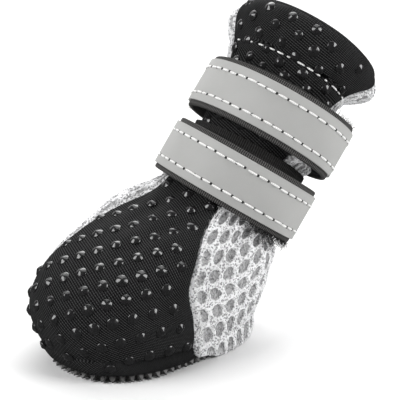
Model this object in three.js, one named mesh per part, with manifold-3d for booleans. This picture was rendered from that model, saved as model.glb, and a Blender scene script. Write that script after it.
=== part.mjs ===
// A small dog's boot: a hollow spacer mesh upper on a lugged rubber sole, with a
// grip panel over its front and two strap loops that carry reflective tape.
// The toe points along +X, the boot's left side along +Y.
import * as THREE from 'three';
import { mergeVertices } from 'three/addons/utils/BufferGeometryUtils.js';
import Module from 'manifold-3d';

const wasm = await Module();
wasm.setup();

// Driving dimensions in millimetres
const seat = 0.3; // gap between pieces that rest on each other
const wall = 2.2; // spacer mesh of the upper
const panelThickness = 0.8;
const panelSink = panelThickness + seat - 0.1; // how far the wall steps in under the panel
const hemPuff = 0.9; // swell of the folded hem at the collar
const rimRise = 0.9; // round edge of the collar above the last section
const soleTop = 2.1;
const soleProud = 0.8; // sole edge outside the upper's lower edge
const soleStep = 0.35; // lip along the top of the sole's side
const soleLipBottom = 1.4;
const soleChamfer = 0.4;
const lugPitch = 3.7;
const grooveWidth = 0.95;
const grooveDepth = 1.05;
const insoleThickness = 1.0;
const insoleMargin = 0.5;
const feltMargin = wall * 1.3; // width of the upper's lower edge, flat on the sole
const toeSpring = 0.2;
const springStart = 17;
const springEnd = 32.5;
const springHeight = 30; // the lift of the toe fades out at this height
const webbingWidth = 15;
const webbingThickness = 1.45;
const tapeWidth = 12.4;
const tapeThickness = 0.35;
const tapeProud = 0.1; // tape outside the loop's own line
const lapThickness = 1.2; // free end of a strap, laid over the loop at the back
const baseThickness = 0.8;
const baseClearance = 0.45; // the bands are flat between sections, so they stand off a little more

// A table of named columns: each row is a name and its values
function table(columns, rows) {
  return rows.map(([name, ...values]) => {
    const row = { name };
    columns.forEach((key, index) => {
      row[key] = values[index];
    });
    return row;
  });
}

// Sections of the last from the sole up: middle, slope of the section's plane in
// degrees, reach to the front and back, half width, and fullness (2 is an ellipse)
const sectionColumns = ['along', 'across', 'up', 'tilt', 'lean', 'front', 'back', 'half', 'full'];
const sections = table(sectionColumns, [
  ['feather', 6.5, 0.5, 2.4, 0, 0, 25.1, 31, 14.7, 2.55],
  ['welt', 6.5, -1.4, 5.4, 0, 0, 29, 34.5, 18.8, 2.3],
  ['ball', 5.5, -2.9, 13.2, 1, 0, 32.4, 39, 21.5, 2.2],
  ['toe top', 2.5, -2.5, 20.2, 4, 1, 31.2, 36, 22, 2.2],
  ['vamp', -3.7, -0.8, 27, 10, 2, 25.2, 29.4, 21.3, 2.1],
  ['instep', -10.3, 1.1, 33.6, 19, 5, 14.4, 20.6, 17.3, 2.05],
  ['ankle', -17, 3.4, 40.2, 27, 8, 11.4, 15.2, 15.2, 2],
  ['lower shaft', -22.5, 4.6, 48.2, 31, 9, 12, 14, 15, 2],
  ['waist', -27.7, 5, 56.7, 33, 9, 12.4, 13.6, 15.4, 2],
  ['upper shaft', -32.8, 5.6, 65.3, 33, 8, 12.6, 13.8, 15.8, 2],
  ['hem', -38.4, 6.6, 73.8, 34, 8, 17.2, 17, 17.9, 2],
  ['collar', -42, 7.9, 77.5, 34, 8, 18, 18.4, 17.8, 2],
]);
const collarLevel = sections.length - 1;
const hemLevel = 9.5;
const panelFoot = 0.06; // level of the panel's lower edge, just clear of the sole

// Edges of the grip panel, in degrees round each section from the toe line
const panelEdges = [
  { level: 0, right: -84, left: 90 },
  { level: 1.5, right: -73, left: 88 },
  { level: 2.6, right: -50, left: 80 },
  { level: 3.9, right: -39, left: 63 },
  { level: 5.4, right: -36, left: 42 },
  { level: 7, right: -58, left: 69 },
  { level: 8.2, right: -52, left: 92 },
  { level: 9.5, right: -40, left: 112 },
  { level: 11, right: -42, left: 122 },
];

// The two strap loops: middle of the band, slope of its plane, and its reach
const straps = table(sectionColumns, [
  ['lower', -19, 3.9, 41.6, 27.5, 12.5, 18, 19, 20.6, 2],
  ['upper', -29.6, 5.7, 57.2, 31.5, 10, 17.5, 17.6, 22, 2],
]);
const tapeSpan = { from: -128, to: 152 };
const lapSpan = { from: 196, to: 226 };
// Fastener bands sewn round the shaft under the loops, from one level to another
const baseBands = [
  { name: 'lower', from: 6.2, to: 7.15 },
  { name: 'upper', from: 7.6, to: 8.95 },
];

// Grid counts
const frontColumns = 18;
const backColumns = 26;
const bandColumns = 48;
const soleColumns = 72;
const panelEdgeGap = 1.1; // degrees between the panel and the step round it
const stepWidth = 1.2; // degrees that the step takes
const levelStep = 0.5;

const radians = THREE.MathUtils.degToRad;
const clamp = THREE.MathUtils.clamp;

// A smooth curve through the rows of a table, one value for each named column
function smoothRow(rows, columns, position) {
  const last = rows.length - 1;
  const place = clamp(position, 0, last);
  const index = Math.min(Math.floor(place), last - 1);
  const f = place - index;
  const row = {};
  for (const key of columns) {
    const before = rows[Math.max(index - 1, 0)][key];
    const start = rows[index][key];
    const end = rows[index + 1][key];
    const after = rows[Math.min(index + 2, last)][key];
    const leave = (end - before) / 2;
    const arrive = (after - start) / 2;
    row[key] = (2 * f ** 3 - 3 * f ** 2 + 1) * start + (f ** 3 - 2 * f ** 2 + f) * leave;
    row[key] += (3 * f ** 2 - 2 * f ** 3) * end + (f ** 3 - f ** 2) * arrive;
  }
  return row;
}

// The toe curls up from the floor, less and less with height
function toeLift(x, z) {
  const run = Math.max(0, (x - springStart) / (springEnd - springStart));
  return toeSpring * run ** 2 * Math.max(0, 1 - z / springHeight);
}

// A point of one section: a superellipse with its own reach to the front and back
function ringPoint(row, angle, grow = 0) {
  const c = Math.cos(angle);
  const s = Math.sin(angle);
  const reach = (c > 0 ? row.front : row.back) + grow;
  const along = reach * Math.sign(c) * Math.abs(c) ** (2 / row.full);
  const across = (row.half + grow) * Math.sign(s) * Math.abs(s) ** (2 / row.full);
  const tilt = radians(row.tilt);
  const lean = radians(row.lean);
  return new THREE.Vector3(
    row.along + along * Math.cos(tilt),
    row.across + across * Math.cos(lean),
    row.up + along * Math.sin(tilt) - across * Math.sin(lean),
  );
}

// The direction that a section's plane faces
function sectionAxis(row) {
  const forward = new THREE.Vector3(Math.cos(radians(row.tilt)), 0, Math.sin(radians(row.tilt)));
  const sideways = new THREE.Vector3(0, Math.cos(radians(row.lean)), -Math.sin(radians(row.lean)));
  return forward.cross(sideways).normalize();
}

function lastSurface(level, angle) {
  const point = ringPoint(smoothRow(sections, sectionColumns, level), angle);
  point.z += toeLift(point.x, point.z);
  return point;
}

function lastNormal(level, angle) {
  const levelNudge = 0.03;
  const angleNudge = 0.03;
  const below = lastSurface(Math.max(level - levelNudge, 0), angle);
  const above = lastSurface(Math.min(level + levelNudge, collarLevel), angle);
  const right = lastSurface(level, angle - angleNudge);
  const left = lastSurface(level, angle + angleNudge);
  return left.sub(right).cross(above.sub(below)).normalize();
}

// A point of the last, moved out along its normal
function lastPoint(level, angle, grow) {
  return lastSurface(level, angle).addScaledVector(lastNormal(level, angle), grow);
}

function panelEdgesAt(level) {
  let index = 0;
  while (index < panelEdges.length - 2 && panelEdges[index + 1].level < level) {
    index += 1;
  }
  const span = panelEdges[index + 1].level - panelEdges[index].level;
  const place = index + clamp((level - panelEdges[index].level) / span, 0, 1);
  return smoothRow(panelEdges, ['left', 'right'], place);
}

// The hem swells between its stitch line and the collar
function hemSwell(level) {
  const run = clamp((level - hemLevel) / (collarLevel - hemLevel), 0, 1);
  return hemPuff * Math.sin(Math.PI * run) ** 0.7;
}

function levelsBetween(from, to, step) {
  const count = Math.max(1, Math.round(Math.abs(to - from) / step));
  return Array.from({ length: count + 1 }, (unused, index) => from + ((to - from) * index) / count);
}

// A solid from rows of points: every row is a loop or a strip of equal length
function gridSolid(rows, { closedRows, closedColumns, capped }) {
  const count = rows[0].length;
  const points = rows.flat();
  const faces = [];
  const rowEnd = closedColumns ? rows.length : rows.length - 1;
  const columnEnd = closedRows ? count : count - 1;
  for (let r = 0; r < rowEnd; r += 1) {
    const next = (r + 1) % rows.length;
    for (let c = 0; c < columnEnd; c += 1) {
      const side = (c + 1) % count;
      faces.push([r * count + c, r * count + side, next * count + side]);
      faces.push([r * count + c, next * count + side, next * count + c]);
    }
  }
  if (capped) {
    for (const [row, first] of [[0, true], [rows.length - 1, false]]) {
      const middle = new THREE.Vector3();
      rows[row].forEach((point) => middle.addScaledVector(point, 1 / count));
      points.push(middle);
      for (let c = 0; c < count; c += 1) {
        const a = row * count + c;
        const b = row * count + ((c + 1) % count);
        faces.push(first ? [points.length - 1, b, a] : [points.length - 1, a, b]);
      }
    }
  }
  return outwardGeometry(points, faces);
}

// A geometry whose faces point out, whichever way the rows ran
function outwardGeometry(points, faces) {
  let volume = 0;
  for (const [a, b, c] of faces) {
    volume += points[a].dot(new THREE.Vector3().crossVectors(points[b], points[c]));
  }
  const geometry = new THREE.BufferGeometry().setFromPoints(points);
  geometry.setIndex(faces.flatMap(([a, b, c]) => (volume > 0 ? [a, b, c] : [a, c, b])));
  geometry.computeVertexNormals();
  return geometry;
}

// A sheet with a thickness: the outer and inner rows share one loop round each row
function sheetSolid(outerRows, innerRows) {
  const loops = outerRows.map((row, index) => [...row, ...[...innerRows[index]].reverse()]);
  const width = outerRows[0].length;
  const geometry = gridSolid(loops, { closedRows: true, closedColumns: false, capped: false });
  const order = Array.from(geometry.index.array);
  const points = loops.flat();
  const faces = [];
  for (let index = 0; index < order.length; index += 3) {
    faces.push([order[index], order[index + 1], order[index + 2]]);
  }
  const flipped = order[1] !== 1;
  for (const [start, first] of [[0, true], [(loops.length - 1) * 2 * width, false]]) {
    for (let c = 0; c < width - 1; c += 1) {
      const corners = [start + c, start + c + 1, start + 2 * width - 2 - c, start + 2 * width - 1 - c];
      const turned = first === flipped ? corners : [...corners].reverse();
      faces.push([turned[0], turned[1], turned[2]], [turned[0], turned[2], turned[3]]);
    }
  }
  return outwardGeometry(points, faces);
}

function toManifold(geometry) {
  const bare = geometry.clone();
  bare.deleteAttribute('normal');
  bare.deleteAttribute('uv');
  const merged = mergeVertices(bare);
  return new wasm.Manifold(new wasm.Mesh({
    numProp: 3,
    vertProperties: new Float32Array(merged.attributes.position.array),
    triVerts: new Uint32Array(merged.index.array),
  }));
}

function toGeometry(solid) {
  const mesh = solid.getMesh();
  const geometry = new THREE.BufferGeometry();
  geometry.setAttribute('position', new THREE.BufferAttribute(mesh.vertProperties, mesh.numProp));
  geometry.setIndex(new THREE.BufferAttribute(mesh.triVerts, 1));
  geometry.computeVertexNormals();
  return geometry;
}

// Upper: columns across the front follow the panel's edges, the rest goes round the back
function upperColumns(level) {
  const { left, right } = panelEdgesAt(level);
  const backStart = left + stepWidth;
  const backEnd = right - stepWidth + 360;
  const columns = [];
  for (let c = 0; c <= frontColumns; c += 1) {
    columns.push({ angle: radians(right + ((left - right) * c) / frontColumns), sunk: true });
  }
  for (let c = 0; c <= backColumns; c += 1) {
    columns.push({ angle: radians(backStart + ((backEnd - backStart) * c) / backColumns), sunk: false });
  }
  return columns;
}

function upperGeometry() {
  const rows = [];
  const footRow = smoothRow(sections, sectionColumns, 0);
  for (const level of levelsBetween(0, collarLevel, levelStep)) {
    const swell = hemSwell(level);
    rows.push(upperColumns(level).map(({ angle, sunk }) => (
      lastPoint(level, angle, sunk ? -panelSink : swell)
    )));
  }
  const rimRow = smoothRow(sections, sectionColumns, collarLevel);
  const rise = sectionAxis(rimRow).multiplyScalar(rimRise);
  rows.push(upperColumns(collarLevel).map(({ angle, sunk }) => {
    const depth = sunk ? (panelSink + wall) / 2 : wall / 2;
    return lastPoint(collarLevel, angle, -depth).add(rise);
  }));
  for (const level of levelsBetween(collarLevel, 1, 1)) {
    rows.push(upperColumns(level).map(({ angle }) => lastPoint(level, angle, -wall)));
  }
  rows.push(upperColumns(0).map(({ angle }) => {
    const point = ringPoint(footRow, angle, -feltMargin);
    point.z += toeLift(point.x, point.z);
    return point;
  }));
  return gridSolid(rows, { closedRows: true, closedColumns: true, capped: false });
}

// Grip panel: lies in the step of the wall, and its folded top swells into the hem
function panelGeometry() {
  const outer = [];
  const inner = [];
  for (const level of levelsBetween(panelFoot, collarLevel, levelStep)) {
    const { left, right } = panelEdgesAt(level);
    const from = right + panelEdgeGap;
    const to = left - panelEdgeGap;
    const angles = levelsBetween(0, 1, 1 / frontColumns).map((f) => radians(from + (to - from) * f));
    const swell = hemSwell(level);
    outer.push(angles.map((angle) => lastPoint(level, angle, panelThickness + seat - panelSink + swell)));
    inner.push(angles.map((angle) => lastPoint(level, angle, seat - panelSink)));
  }
  return sheetSolid(outer, inner);
}

// Outsole: a slab on the lower edge's outline with a lip, cut into lugs from below
function soleRing(height, grow) {
  const row = { ...sections[0], up: height };
  const step = (2 * Math.PI) / soleColumns;
  return Array.from({ length: soleColumns }, (unused, index) => ringPoint(row, index * step, grow));
}

function outsoleGeometry() {
  const rows = [
    soleRing(0, soleProud - soleChamfer),
    soleRing(soleChamfer, soleProud),
    soleRing(soleLipBottom, soleProud),
    soleRing(soleLipBottom + soleStep, soleProud + soleStep),
    soleRing(soleTop, soleProud + soleStep),
    soleRing(soleTop, -feltMargin - insoleMargin),
  ];
  const slab = gridSolid(rows, { closedRows: true, closedColumns: false, capped: true });
  let solid = toManifold(slab);
  const reach = sections[0].back + soleProud;
  const grooveLength = 4 * reach;
  const box = new THREE.BoxGeometry(grooveLength, grooveWidth, 2 * grooveDepth);
  const count = Math.ceil(reach / lugPitch);
  for (const turn of [45, -45]) {
    for (let index = -count; index <= count; index += 1) {
      const groove = box.clone();
      groove.translate(0, (index + 0.5) * lugPitch, 0);
      groove.rotateZ(radians(turn));
      groove.translate(sections[0].along, sections[0].across, 0);
      solid = solid.subtract(toManifold(groove));
    }
  }
  const geometry = toGeometry(solid);
  const position = geometry.attributes.position;
  for (let index = 0; index < position.count; index += 1) {
    const lift = toeLift(position.getX(index), position.getZ(index));
    position.setZ(index, position.getZ(index) + lift);
  }
  return geometry;
}

// Insole: a thin board inside the lower edge of the upper
function insoleGeometry() {
  const grow = -feltMargin - insoleMargin;
  const bottom = soleTop + seat;
  const rows = [soleRing(bottom, grow), soleRing(bottom + insoleThickness, grow)];
  for (const row of rows) {
    row.forEach((point) => {
      point.z += toeLift(point.x, point.z);
    });
  }
  return gridSolid(rows, { closedRows: true, closedColumns: false, capped: true });
}

// A point of a strap loop: across is measured along the band's width
function strapPoint(strap, angle, across, grow) {
  return ringPoint(strap, angle, grow).addScaledVector(sectionAxis(strap), across);
}

function webbingGeometry(strap) {
  const outside = -tapeThickness - seat + tapeProud;
  const angles = Array.from({ length: bandColumns }, (unused, index) => (index * 360) / bandColumns);
  const lapped = (angle) => (angle > lapSpan.from && angle < lapSpan.to ? lapThickness : 0);
  const edge = webbingWidth / 2;
  const row = (across, grow, lap) => angles.map((angle) => (
    strapPoint(strap, radians(angle), across, grow + (lap ? lapped(angle) : 0))
  ));
  const rows = [
    row(-edge, outside, true),
    row(edge, outside, true),
    row(edge, outside - webbingThickness, false),
    row(-edge, outside - webbingThickness, false),
  ];
  return gridSolid(rows, { closedRows: true, closedColumns: true, capped: false });
}

function tapeGeometry(strap) {
  const step = 360 / bandColumns;
  const angles = levelsBetween(tapeSpan.from, tapeSpan.to, step).map(radians);
  const edges = [-tapeWidth / 2, tapeWidth / 2];
  const outer = edges.map((across) => angles.map((angle) => strapPoint(strap, angle, across, tapeProud)));
  const inner = edges.map((across) => angles.map((angle) => (
    strapPoint(strap, angle, across, tapeProud - tapeThickness)
  )));
  return sheetSolid(outer, inner);
}

// Fastener band: follows the shaft, just clear of the panel and the mesh
function baseGeometry({ from, to }) {
  const turn = (2 * Math.PI) / bandColumns;
  const angles = Array.from({ length: bandColumns }, (unused, index) => index * turn);
  const levels = levelsBetween(from, to, levelStep);
  const inside = panelThickness + seat - panelSink + baseClearance;
  const rows = [];
  for (const level of levels) {
    rows.push(angles.map((angle) => lastPoint(level, angle, inside + baseThickness)));
  }
  for (const level of [...levels].reverse()) {
    rows.push(angles.map((angle) => lastPoint(level, angle, inside)));
  }
  return gridSolid(rows, { closedRows: true, closedColumns: true, capped: false });
}

function piece(name, geometry, color, roughness) {
  const mesh = new THREE.Mesh(geometry, new THREE.MeshStandardMaterial({ color, roughness, metalness: 0 }));
  mesh.name = name;
  return mesh;
}

const boot = new THREE.Group();
boot.add(piece('outsole', outsoleGeometry(), 0x1b1b1c, 0.75));
boot.add(piece('insole', insoleGeometry(), 0x3a3a3c, 0.9));
boot.add(piece('upper', upperGeometry(), 0xe2e2e4, 0.85));
boot.add(piece('front_panel', panelGeometry(), 0x17181a, 0.8));
baseBands.forEach((band) => {
  boot.add(piece(`base_${band.name}`, baseGeometry(band), 0x222326, 0.95));
});
straps.forEach((strap) => {
  boot.add(piece(`strap_${strap.name}`, webbingGeometry(strap), 0x3b3c3f, 0.8));
  boot.add(piece(`tape_${strap.name}`, tapeGeometry(strap), 0xb9b9b7, 0.45));
});

// The origin is on the floor, under the middle of the whole boot
const bounds = new THREE.Box3().setFromObject(boot);
const middle = bounds.getCenter(new THREE.Vector3());
boot.position.set(-middle.x, -middle.y, -bounds.min.z);

export default boot;
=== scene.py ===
import math

import bpy
import numpy as np
from mathutils import Matrix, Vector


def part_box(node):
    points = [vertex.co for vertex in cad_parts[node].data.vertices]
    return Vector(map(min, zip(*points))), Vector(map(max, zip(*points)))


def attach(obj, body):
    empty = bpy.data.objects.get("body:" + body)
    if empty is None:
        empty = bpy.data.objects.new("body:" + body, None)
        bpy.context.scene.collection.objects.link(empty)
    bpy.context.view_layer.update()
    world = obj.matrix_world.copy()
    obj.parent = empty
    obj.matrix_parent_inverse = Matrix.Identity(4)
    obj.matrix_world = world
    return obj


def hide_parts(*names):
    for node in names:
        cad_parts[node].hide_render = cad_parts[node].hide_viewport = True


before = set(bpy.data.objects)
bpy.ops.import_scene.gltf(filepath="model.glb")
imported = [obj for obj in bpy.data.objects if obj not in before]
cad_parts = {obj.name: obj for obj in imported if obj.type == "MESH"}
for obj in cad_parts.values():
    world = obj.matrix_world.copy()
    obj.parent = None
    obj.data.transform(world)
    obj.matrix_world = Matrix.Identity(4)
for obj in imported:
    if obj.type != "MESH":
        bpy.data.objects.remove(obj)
scene = bpy.context.scene
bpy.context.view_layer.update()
mm = 0.001
rng = np.random.default_rng(7)
scatter = rng.standard_normal
print("frame loaded:", sorted(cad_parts))

# the last, as the solids have it: one row per section from the sole to the collar, in mm and degrees
sections = np.array([
    # along across up tilt lean front back half full
    [6.5, 0.5, 2.4, 0, 0, 25.1, 31, 14.7, 2.55],        # feather
    [6.5, -1.4, 5.4, 0, 0, 29, 34.5, 18.8, 2.3],        # welt
    [5.5, -2.9, 13.2, 1, 0, 32.4, 39, 21.5, 2.2],       # ball
    [2.5, -2.5, 20.2, 4, 1, 31.2, 36, 22, 2.2],         # toe top
    [-3.7, -0.8, 27, 10, 2, 25.2, 29.4, 21.3, 2.1],     # vamp
    [-10.3, 1.1, 33.6, 19, 5, 14.4, 20.6, 17.3, 2.05],  # instep
    [-17, 3.4, 40.2, 27, 8, 11.4, 15.2, 15.2, 2],       # ankle
    [-22.5, 4.6, 48.2, 31, 9, 12, 14, 15, 2],           # lower shaft
    [-27.7, 5, 56.7, 33, 9, 12.4, 13.6, 15.4, 2],       # waist
    [-32.8, 5.6, 65.3, 33, 8, 12.6, 13.8, 15.8, 2],     # upper shaft
    [-38.4, 6.6, 73.8, 34, 8, 17.2, 17, 17.9, 2],       # hem
    [-42, 7.9, 77.5, 34, 8, 18, 18.4, 17.8, 2],         # collar
])
last = {"collar": 11.0, "hem": 9.5, "toeSpring": 0.2, "springStart": 17, "springEnd": 32.5, "springHeight": 30}
soleEdge = 1.15    # the sole's lip stands this far outside the feather section
levelStep = 8.5    # up the cloth, about, from one level of the last to the next

# the last's own zero in the frame, from the sole's box
_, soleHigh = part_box("outsole")
feather = sections[0]
origin = np.array([
    soleHigh.x / mm - (feather[0] + feather[5] + soleEdge),
    soleHigh.y / mm - (feather[1] + feather[7] + soleEdge),
    0.0,
])


# a smooth curve through the rows of a table: cubic pieces whose slopes are half the step between neighbours
def smoothRows(rows, position):
    end = len(rows) - 1
    place = np.clip(np.asarray(position, float), 0, end)
    index = np.minimum(place.astype(int), end - 1)
    f = (place - index)[..., None]
    before, start = rows[np.maximum(index - 1, 0)], rows[index]
    stop, after = rows[index + 1], rows[np.minimum(index + 2, end)]
    leave, arrive = (stop - before) / 2, (after - start) / 2
    return ((2 * f**3 - 3 * f**2 + 1) * start + (f**3 - 2 * f**2 + f) * leave
            + (3 * f**2 - 2 * f**3) * stop + (f**3 - f**2) * arrive)


# the toe curls up from the floor, less with height
def toeLift(x, z):
    run = np.maximum(0, (x - last["springStart"]) / (last["springEnd"] - last["springStart"]))
    return last["toeSpring"] * run**2 * np.maximum(0, 1 - z / last["springHeight"])


# a superellipse in a sloping plane, with its own reach to the front and to the back
def ringPoints(row, angle, grow=0.0):
    along, across, up, tilt, lean, front, back, half, full = np.moveaxis(row, -1, 0)
    c, s = np.cos(angle), np.sin(angle)
    power = 2 / full
    p = (np.where(c > 0, front, back) + grow) * np.sign(c) * np.abs(c) ** power
    q = (half + grow) * np.sign(s) * np.abs(s) ** power
    tilt, lean = np.radians(tilt), np.radians(lean)
    return np.stack([along + p * np.cos(tilt), across + q * np.cos(lean),
                     up + p * np.sin(tilt) - q * np.sin(lean)], -1)


# the direction a section's plane faces
def sectionAxis(row):
    tilt, lean = np.radians(row[..., 3]), np.radians(row[..., 4])
    zero = np.zeros_like(tilt)
    forward = np.stack([np.cos(tilt), zero, np.sin(tilt)], -1)
    sideways = np.stack([zero, np.cos(lean), -np.sin(lean)], -1)
    return unit(np.cross(forward, sideways))


def unit(v):
    return v / np.maximum(np.linalg.norm(v, axis=-1, keepdims=True), 1e-9)


def lastSurface(level, angle):
    level, angle = np.broadcast_arrays(np.asarray(level, float), np.asarray(angle, float))
    point = ringPoints(smoothRows(sections, level), angle)
    point[..., 2] += toeLift(point[..., 0], point[..., 2])
    return point


# across the two directions of the surface, by small steps along each
def lastNormal(level, angle, nudge=0.03):
    below, above = np.maximum(level - nudge, 0), np.minimum(level + nudge, last["collar"])
    rise = lastSurface(above, angle) - lastSurface(below, angle)
    turn = lastSurface(level, angle + nudge) - lastSurface(level, angle - nudge)
    return unit(np.cross(turn, rise))


def lastPoint(level, angle, grow):
    level, angle, grow = np.broadcast_arrays(np.asarray(level, float), np.asarray(angle, float), grow)
    return lastSurface(level, angle) + lastNormal(level, angle) * grow[..., None]


def bell(x, width):
    return np.exp(-(x / width) ** 2)


def ramp(x, low, high):
    f = np.clip((x - low) / (high - low), 0, 1)
    return f * f * (3 - 2 * f)


# degrees from the toe line, between -180 and 180
def fromToe(angle):
    return np.degrees(np.angle(np.exp(1j * angle)))


# how far a walk along a line of points has come at each of them
def walked(line):
    return np.cumsum(np.linalg.norm(np.diff(line, axis=0, prepend=line[:1]), axis=-1))


def circle(count):
    return np.arange(count) / count * 2 * math.pi


# two lists as the rows and the columns of a grid
def grid(rows, columns):
    return np.meshgrid(rows, columns, indexing="ij")


# faces of a grid of rings and their places in the cloth; it closes to a loop or by quads across both ends
def ringFaces(rows, columns, looped=False, cloth=None):
    r, c = grid(np.arange(rows - (not looped)), np.arange(columns))
    r, c = (np.stack([way + step for step in steps], -1).reshape(-1, 4)
            for way, steps in ((r, (0, 0, 1, 1)), (c, (0, 1, 1, 0))))
    faces = r % rows * columns + c % columns
    uv = None if cloth is None else cloth[r, c]
    if not looped:
        k = np.arange(columns // 2 - 1)
        strip = np.stack([k, k + 1, columns - 2 - k, columns - 1 - k], -1)
        faces = np.concatenate([faces, strip[:, ::-1], strip + (rows - 1) * columns])
        uv = None if cloth is None else np.concatenate([uv, np.zeros((2 * len(k), 4, 2))])
    return faces, uv


# faces of many equal tubes
def manyTubes(count, rows, columns):
    one, _ = ringFaces(rows, columns)
    return (np.arange(count)[:, None, None] * rows * columns + one).reshape(-1, 4)


# round tubes along many lines, with a ring of points at each step of a line
def tubesAlong(line, side, other, radius, sides):
    turn = circle(sides)
    ring = side[:, None, None] * np.cos(turn)[:, None] + other[:, None, None] * np.sin(turn)[:, None]
    return line[:, :, None] + ring * radius[:, None, None], manyTubes(*line.shape[:2], sides)


# many small shapes, each set down at its centre along three directions of its own
def setDown(centre, ways, x, y, z):
    a, b, c = (way[:, None, None] for way in ways)
    return centre[:, None, None] + a * x[..., None] + b * y[..., None] + c * z[..., None]


# many round shapes, each a profile of reach and height turned about the normal of its place
def turned(centre, normal, aside, reach, height, sides):
    side, turn = unit(np.cross(aside, normal)), circle(sides)
    ways = side, np.cross(normal, side), normal
    points = setDown(centre, ways, reach * np.cos(turn), reach * np.sin(turn), height)
    return points, manyTubes(len(centre), len(height), sides)


# an object of the scene for a mesh, a light or a camera
def placed(name, data):
    holder = bpy.data.objects.new(name, data)
    scene.collection.objects.link(holder)
    return holder


# one mesh object at the origin, its place in its mesh; faces turn outwards by the sign of their volume
def addPiece(name, points, faces, finish, uv=None, marks=None, replaces=(), flat=False):
    points = (points.reshape(-1, 3) + origin) * mm
    a, b, c, d = (points[faces[:, k]] for k in (0, 1, 2, -1))
    volume = (a * np.cross(b, c)).sum() + (a * np.cross(c, d)).sum()
    if volume < 0:
        faces = faces[:, ::-1]
        uv = None if uv is None else uv[:, ::-1]
    sheet = bpy.data.meshes.new(name)
    sheet.from_pydata(points.tolist(), [], faces.tolist())
    if uv is not None:
        sheet.uv_layers.new(name="UVMap").data.foreach_set("uv", uv.reshape(-1).astype(np.float32))
    for key, values in (marks or {}).items():
        layer = sheet.attributes.new(key, "FLOAT", "POINT")
        layer.data.foreach_set("value", values.reshape(-1).astype(np.float32))
    sheet.polygons.foreach_set("use_smooth", np.full(len(faces), not flat))
    sheet.materials.append(finishes[finish])
    sheet.update()
    piece = placed(name, sheet)
    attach(piece, "root")
    if replaces:
        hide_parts(*replaces)


# a wrapped socket: arithmetic on it adds Math nodes
class Wire:
    def __init__(self, finish, socket):
        self.finish, self.socket = finish, socket

    def maths(self, operation, first, second=0.0):
        return self.finish.node("Math", {"operation": operation}, {0: first, 1: second})

    def __add__(self, other): return self.maths("ADD", self, other)
    def __radd__(self, other): return self.maths("ADD", other, self)
    def __sub__(self, other): return self.maths("SUBTRACT", self, other)
    def __rsub__(self, other): return self.maths("SUBTRACT", other, self)
    def __mul__(self, other): return self.maths("MULTIPLY", self, other)
    def __truediv__(self, other): return self.maths("DIVIDE", self, other)
    def __pow__(self, other): return self.maths("POWER", self, other)
    def sine(self): return self.maths("SINE", self)
    def size(self): return self.maths("ABSOLUTE", self)
    def most(self, other): return self.maths("MAXIMUM", self, other)
    def held(self): return self.maths("MINIMUM", self, 1.0).most(0.0)
    def fromWhole(self): return self - self.maths("ROUND", self)


# a material whose nodes are written as expressions
class Finish:
    def __init__(self, name, **constants):
        self.material = bpy.data.materials.new(name)
        self.material.use_nodes = True
        self.tree = self.material.node_tree
        self.shader = self.tree.nodes["Principled BSDF"]
        self.feed(**constants)

    def node(self, kind, settings=None, sockets=None, output=0):
        made = self.tree.nodes.new("ShaderNode" + kind)
        for key, value in (settings or {}).items():
            setattr(made, key, value)
        for key, value in (sockets or {}).items():
            self.join(made.inputs[key], value)
        return Wire(self, made.outputs[output])

    def join(self, socket, value):
        if isinstance(value, Wire):
            self.tree.links.new(value.socket, socket)
        else:
            socket.default_value = value

    def feed(self, **values):
        for key, value in values.items():
            self.join(self.shader.inputs[key.replace("_", " ")], value)

    # a wave that runs over the laid out cloth and repeats after each pitch
    def wave(self, pitch, across=1.0, along=0.0):
        uv = self.node("TexCoord", output="UV")
        u, v = (self.node("SeparateXYZ", None, {0: uv}, axis) for axis in "XY")
        return ((u * across + v * along) * (2 * math.pi / pitch)).sine()

    def mark(self, name):
        return self.node("Attribute", {"attribute_name": name}, output="Fac")

    def noise(self, grain, detail=2.0):
        place = self.node("TexCoord", output="Object")
        return self.node("TexNoise", None, {
            "Vector": place, "Scale": 1 / (grain * mm), "Detail": detail})

    def lumps(self, grain):
        place = self.node("TexCoord", output="Object")
        return self.node("TexVoronoi", None, {
            "Vector": place, "Scale": 1 / (grain * mm), "Randomness": 1.0}, "Distance")

    def mix(self, share, dark, light):
        dark, light = ((*c, 1) if isinstance(c, tuple) else c for c in (dark, light))
        return self.node("Mix", {"data_type": "RGBA"}, {0: share, 6: dark, 7: light}, 2)

    def dressed(self, tone, dark, light, roughness, height=None, deep=0.0):
        self.feed(Base_Color=self.mix(tone, dark, light), Roughness=roughness)
        if height:
            self.feed(Normal=self.node("Bump", None, {
                "Strength": 1.0, "Distance": deep * mm, "Height": height}))
        return self.material


# black ribbed knit: fine slanting ribs crossed by a shallow weave, greyer with lint and in patches
def makeGripKnit():
    f = Finish("gripKnit", Specular_IOR_Level=0.05)
    ribs = f.wave(pitch=0.6, across=0.75, along=0.66)
    weave = f.wave(pitch=0.7, across=0.66, along=-0.75)
    loops = ribs * weave * 0.16 + ribs * 0.22 + weave * 0.06 + 0.5
    lint, patch = f.noise(0.35), f.noise(6.0, detail=3.0)
    tone = loops * 2.3 + lint * 0.7 + patch * 0.3 - 1.27
    return f.dressed(tone, dark=(0.0005, 0.0005, 0.0006), light=(0.046, 0.0463, 0.047),
                     roughness=0.66 + lint * 0.2, height=loops + lint * 0.5, deep=0.14)


# moulded rubber dots, nearly mirror smooth
def makeDotRubber():
    f = Finish("dotRubber", Specular_IOR_Level=0.5, Coat_Weight=0.28, Coat_Roughness=0.14)
    smear = f.noise(1.2)
    return f.dressed(smear, dark=(0.009, 0.009, 0.0093), light=(0.015, 0.015, 0.0155),
                     roughness=0.13 + smear * 0.1, height=f.noise(0.7, detail=1.0), deep=0.012)


cellRadius = 0.37    # of an open cell of the mesh, where each cell is 1 from the next


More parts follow.
